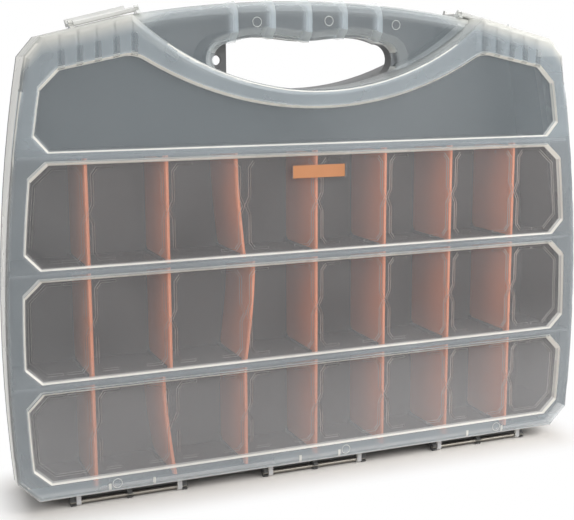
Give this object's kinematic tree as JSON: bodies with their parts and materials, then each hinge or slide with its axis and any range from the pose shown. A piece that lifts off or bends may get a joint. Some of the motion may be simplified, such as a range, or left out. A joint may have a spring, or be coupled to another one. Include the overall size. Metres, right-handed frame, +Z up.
{
  "type": "accessory storage case",
  "caption": "Flat carrying case with a handle, a dark tray of compartments with loose upright dividers, and a see-through hinged lid with shoulder latches.",
  "frame": {"origin": "on the ground under the middle of the upright case", "axes": "+X across the case to the right as seen from the lid, +Y from the lid's face to the tray's back, +Z up"},
  "size_m": [0.38, 0.056, 0.2934],
  "materials": {
    "tray_plastic": "fine grained, dark grey",
    "lid_plastic": "milky see-through, satin",
    "latch_plastic": "milky see-through, satin",
    "divider_plastic": "smooth, orange",
    "badge_plastic": "smooth, bare, orange",
    "pin_wire": "drawn wire"
  },
  "bodies": {
    "tray": {"tray": "tray_plastic", "hinge_pin_1": "pin_wire", "hinge_pin_2": "pin_wire", "hinge_pin_3": "pin_wire", "divider_row1_1": "divider_plastic", "divider_row1_2": "divider_plastic", "divider_row1_3": "divider_plastic", "divider_row1_4": "divider_plastic", "divider_row1_5": "divider_plastic", "divider_row1_6": "divider_plastic", "divider_row1_7": "divider_plastic", "divider_row2_1": "divider_plastic", "divider_row2_2": "divider_plastic", "divider_row2_3": "divider_plastic", "divider_row2_4": "divider_plastic", "divider_row2_5": "divider_plastic", "divider_row2_6": "divider_plastic", "divider_row2_7": "divider_plastic", "divider_row3_1": "divider_plastic", "divider_row3_2": "divider_plastic", "divider_row3_3": "divider_plastic", "divider_row3_4": "divider_plastic", "divider_row3_5": "divider_plastic", "divider_row3_6": "divider_plastic", "divider_row3_7": "divider_plastic"},
    "lid": {"lid": "lid_plastic", "badge_plate": "badge_plastic"},
    "latch_left": {"latch_left": "latch_plastic"},
    "latch_right": {"latch_right": "latch_plastic"}
  },
  "joints": [
    {"name": "lid_hinge", "type": "hinge", "parent": "tray", "child": "lid", "pos_m": [0, -0.0197, 0.0022], "axis": [1, 0, 0], "range_deg": [0, 180]},
    {"name": "latch_left_hinge", "type": "hinge", "parent": "lid", "child": "latch_left", "pos_m": [-0.12447, -0.0075, 0.28189], "axis": [0.9726, 0, 0.2326], "range_deg": [0, 100]},
    {"name": "latch_right_hinge", "type": "hinge", "parent": "lid", "child": "latch_right", "pos_m": [0.12447, -0.0075, 0.28189], "axis": [0.9726, 0, -0.2326], "range_deg": [0, 100]}
  ]
}
